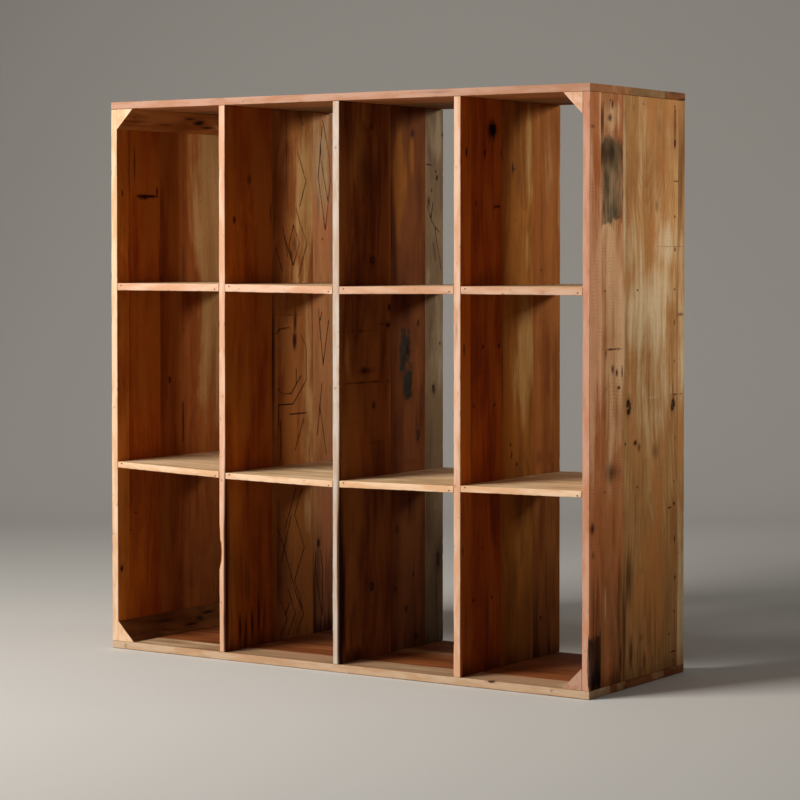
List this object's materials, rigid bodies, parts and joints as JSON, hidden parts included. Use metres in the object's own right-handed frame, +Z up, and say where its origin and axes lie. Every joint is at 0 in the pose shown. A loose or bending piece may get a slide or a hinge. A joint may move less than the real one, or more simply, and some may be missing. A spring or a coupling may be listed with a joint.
{
  "type": "cubby bookcase",
  "caption": "Free-standing open-backed bookcase of glued-up reclaimed boards, with square cubbies between nailed uprights and short shelves, and a triangular block in each outer corner.",
  "frame": {"origin": "on the floor, at the middle of the footprint", "axes": "+Z up to the top panel; -Y out of the front edges, with the cubbies open along Y; +X to the right seen from the front"},
  "size_m": [1.372, 0.46, 1.372],
  "materials": {
    "pale_board": "bare, bleached and worn",
    "tan_board": "bare, aged",
    "pink_board": "bare, aged",
    "red_brown_board": "bare, aged dark",
    "dark_brown_board": "bare, aged dark",
    "olive_board": "bare, aged",
    "grey_board": "bare, weathered grey",
    "nail_steel": "dull, lightly rusted"
  },
  "bodies": {
    "root": {"left_side_board_1": "tan_board", "left_side_board_2": "red_brown_board", "left_side_board_3": "dark_brown_board", "left_side_board_4": "olive_board", "divider_1_board_1": "red_brown_board", "divider_1_board_2": "tan_board", "divider_1_board_3": "pink_board", "divider_2_board_1": "dark_brown_board", "divider_2_board_2": "red_brown_board", "divider_2_board_3": "grey_board", "divider_3_board_1": "red_brown_board", "divider_3_board_2": "red_brown_board", "divider_3_board_3": "olive_board", "divider_3_board_4": "tan_board", "right_side_board_1": "red_brown_board", "right_side_board_2": "grey_board", "right_side_board_3": "tan_board", "right_side_board_4": "pink_board", "top_board_1": "pink_board", "top_board_2": "dark_brown_board", "top_board_3": "tan_board", "bottom_board_1": "pale_board", "bottom_board_2": "red_brown_board", "bottom_board_3": "dark_brown_board", "bottom_board_4": "tan_board", "upper_shelf_1_board_1": "pale_board", "upper_shelf_1_board_2": "tan_board", "upper_shelf_1_board_3": "dark_brown_board", "upper_shelf_2_board_1": "pale_board", "upper_shelf_2_board_2": "pink_board", "upper_shelf_2_board_3": "tan_board", "upper_shelf_3_board_1": "pale_board", "upper_shelf_3_board_2": "tan_board", "upper_shelf_3_board_3": "olive_board", "upper_shelf_4_board_1": "pale_board", "upper_shelf_4_board_2": "pale_board", "upper_shelf_4_board_3": "tan_board", "lower_shelf_1_board_1": "pale_board", "lower_shelf_1_board_2": "tan_board", "lower_shelf_1_board_3": "olive_board", "lower_shelf_2_board_1": "pale_board", "lower_shelf_2_board_2": "tan_board", "lower_shelf_2_board_3": "tan_board", "lower_shelf_3_board_1": "pale_board", "lower_shelf_3_board_2": "pale_board", "lower_shelf_3_board_3": "tan_board", "lower_shelf_4_board_1": "pale_board", "lower_shelf_4_board_2": "pale_board", "lower_shelf_4_board_3": "tan_board", "corner_block_top_left": "pale_board", "corner_block_top_right": "pale_board", "corner_block_bottom_left": "pale_board", "corner_block_bottom_right": "pale_board", "top_panel_nails": "nail_steel", "bottom_panel_nails": "nail_steel", "left_side_nails": "nail_steel", "right_side_nails": "nail_steel", "corner_block_nails": "nail_steel", "upper_shelf_toe_nails": "nail_steel", "lower_shelf_toe_nails": "nail_steel"}
  },
  "joints": []
}
